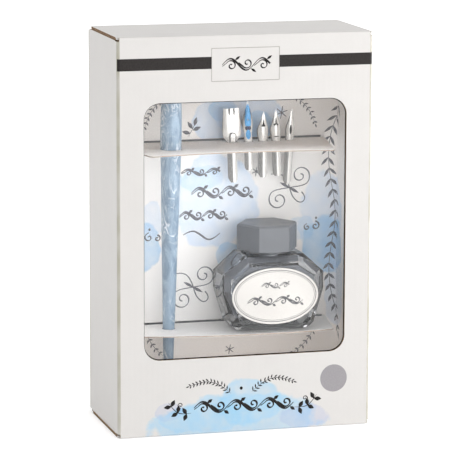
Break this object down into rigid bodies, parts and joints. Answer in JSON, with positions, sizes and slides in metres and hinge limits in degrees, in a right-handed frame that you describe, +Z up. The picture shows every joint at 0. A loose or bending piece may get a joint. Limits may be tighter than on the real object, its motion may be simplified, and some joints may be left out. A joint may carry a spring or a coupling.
{
  "type": "calligraphy set box",
  "caption": "Tuck-end carton with a window, holding a card insert with shelves, a pen holder, a row of nibs and a faceted bottle of ink with a screw cap.",
  "frame": {"origin": "middle of the footprint, on the surface the carton stands on", "axes": "+Z up, the window faces -Y, +X to the right seen from the front"},
  "size_m": [0.134, 0.064, 0.205],
  "materials": {
    "printed_board": "matte",
    "clear_film": "gloss",
    "printed_card": "matte",
    "plain_card": "matte",
    "marbled_lacquer": "satin",
    "plated_steel": "polished",
    "nib_steel": "satin",
    "blued_steel": "satin",
    "bottle_glass": "gloss",
    "ink": "gloss",
    "cap_plastic": "satin",
    "liner_foam": "matte",
    "label_paper": "satin"
  },
  "bodies": {
    "carton": {"carton_sleeve": "printed_board", "window_film": "clear_film", "display_card": "printed_card", "backing_card": "plain_card", "upper_shelf": "plain_card", "lower_shelf": "plain_card"},
    "top_lid": {"top_lid": "printed_board"},
    "top_tuck": {"top_tuck_flap": "printed_board"},
    "top_dust_left": {"top_dust_flap_left": "printed_board"},
    "top_dust_right": {"top_dust_flap_right": "printed_board"},
    "bottom_lid": {"bottom_lid": "printed_board"},
    "bottom_tuck": {"bottom_tuck_flap": "printed_board"},
    "bottom_dust_left": {"bottom_dust_flap_left": "printed_board"},
    "bottom_dust_right": {"bottom_dust_flap_right": "printed_board"},
    "pen": {"pen_barrel": "marbled_lacquer", "pen_ferrule": "plated_steel", "pen_nib_grip": "plated_steel"},
    "nib_one": {"scroll_nib": "nib_steel", "nib_reservoir": "plated_steel"},
    "nib_two": {"blue_nib": "blued_steel"},
    "nib_three": {"vented_nib": "nib_steel"},
    "nib_four": {"trefoil_nib": "nib_steel"},
    "nib_five": {"slotted_nib": "nib_steel"},
    "bottle": {"bottle_glass": "bottle_glass", "ink": "ink", "bottle_label": "label_paper"},
    "liner": {"cap_liner": "liner_foam"},
    "cap": {"bottle_cap": "cap_plastic"}
  },
  "joints": [
    {"name": "top_lid_hinge", "type": "hinge", "parent": "carton", "child": "top_lid", "pos_m": [0, -0.0314, 0.2044], "axis": [1, 0, 0], "range_deg": [0, 175]},
    {"name": "top_tuck_fold", "type": "hinge", "parent": "top_lid", "child": "top_tuck", "pos_m": [0, 0.02985, 0.202], "axis": [1, 0, 0], "range_deg": [0, 71]},
    {"name": "top_dust_left_fold", "type": "hinge", "parent": "carton", "child": "top_dust_left", "pos_m": [-0.0664, 0, 0.20295], "axis": [0, -1, 0], "range_deg": [0, 88.5]},
    {"name": "top_dust_right_fold", "type": "hinge", "parent": "carton", "child": "top_dust_right", "pos_m": [0.0664, 0, 0.20295], "axis": [0, 1, 0], "range_deg": [0, 88.5]},
    {"name": "bottom_lid_hinge", "type": "hinge", "parent": "carton", "child": "bottom_lid", "pos_m": [0, -0.0314, 0.0006], "axis": [-1, 0, 0], "range_deg": [0, 175]},
    {"name": "bottom_tuck_fold", "type": "hinge", "parent": "bottom_lid", "child": "bottom_tuck", "pos_m": [0, 0.02985, 0.003], "axis": [-1, 0, 0], "range_deg": [0, 71]},
    {"name": "bottom_dust_left_fold", "type": "hinge", "parent": "carton", "child": "bottom_dust_left", "pos_m": [-0.0664, 0, 0.00205], "axis": [0, 1, 0], "range_deg": [0, 88.5]},
    {"name": "bottom_dust_right_fold", "type": "hinge", "parent": "carton", "child": "bottom_dust_right", "pos_m": [0.0664, 0, 0.00205], "axis": [0, -1, 0], "range_deg": [0, 88.5]},
    {"name": "pen_slide", "type": "slide", "parent": "carton", "child": "pen", "axis": [-0.0205, -0.1284, 0.9915], "range_m": [0, 0.016]},
    {"name": "scroll_nib_slide", "type": "slide", "parent": "carton", "child": "nib_one", "axis": [-0.0384, 0, 0.9993], "range_m": [0, 0.026]},
    {"name": "blue_nib_slide", "type": "slide", "parent": "carton", "child": "nib_two", "axis": [-0.0349, 0, 0.9994], "range_m": [0, 0.026]},
    {"name": "vented_nib_slide", "type": "slide", "parent": "carton", "child": "nib_three", "axis": [0, 0, 1], "range_m": [0, 0.026]},
    {"name": "trefoil_nib_slide", "type": "slide", "parent": "carton", "child": "nib_four", "axis": [-0.0384, 0, 0.9993], "range_m": [0, 0.026]},
    {"name": "slotted_nib_slide", "type": "slide", "parent": "carton", "child": "nib_five", "axis": [0.0576, 0, 0.9983], "range_m": [0, 0.026]},
    {"name": "bottle_lift", "type": "slide", "parent": "carton", "child": "bottle", "axis": [0, 0, 1], "range_m": [0, 0.012]},
    {"name": "cap_rise", "type": "slide", "parent": "bottle", "child": "liner", "axis": [0, 0, 1], "range_m": [0, 0.0046]},
    {"name": "cap_turn", "type": "hinge", "parent": "liner", "child": "cap", "pos_m": [0.0205, 0, 0.09555], "axis": [0, 0, 1], "range_deg": [0, 540]}
  ],
  "couplings": [
    {"joint": "top_tuck_fold", "follows": "top_lid_hinge", "ratio": 0.4},
    {"joint": "top_dust_left_fold", "follows": "top_lid_hinge", "ratio": 0.5},
    {"joint": "top_dust_right_fold", "follows": "top_lid_hinge", "ratio": 0.5},
    {"joint": "bottom_tuck_fold", "follows": "bottom_lid_hinge", "ratio": 0.4},
    {"joint": "bottom_dust_left_fold", "follows": "bottom_lid_hinge", "ratio": 0.5},
    {"joint": "bottom_dust_right_fold", "follows": "bottom_lid_hinge", "ratio": 0.5},
    {"joint": "cap_rise", "follows": "cap_turn", "m_per_rad": 0.00047746}
  ]
}
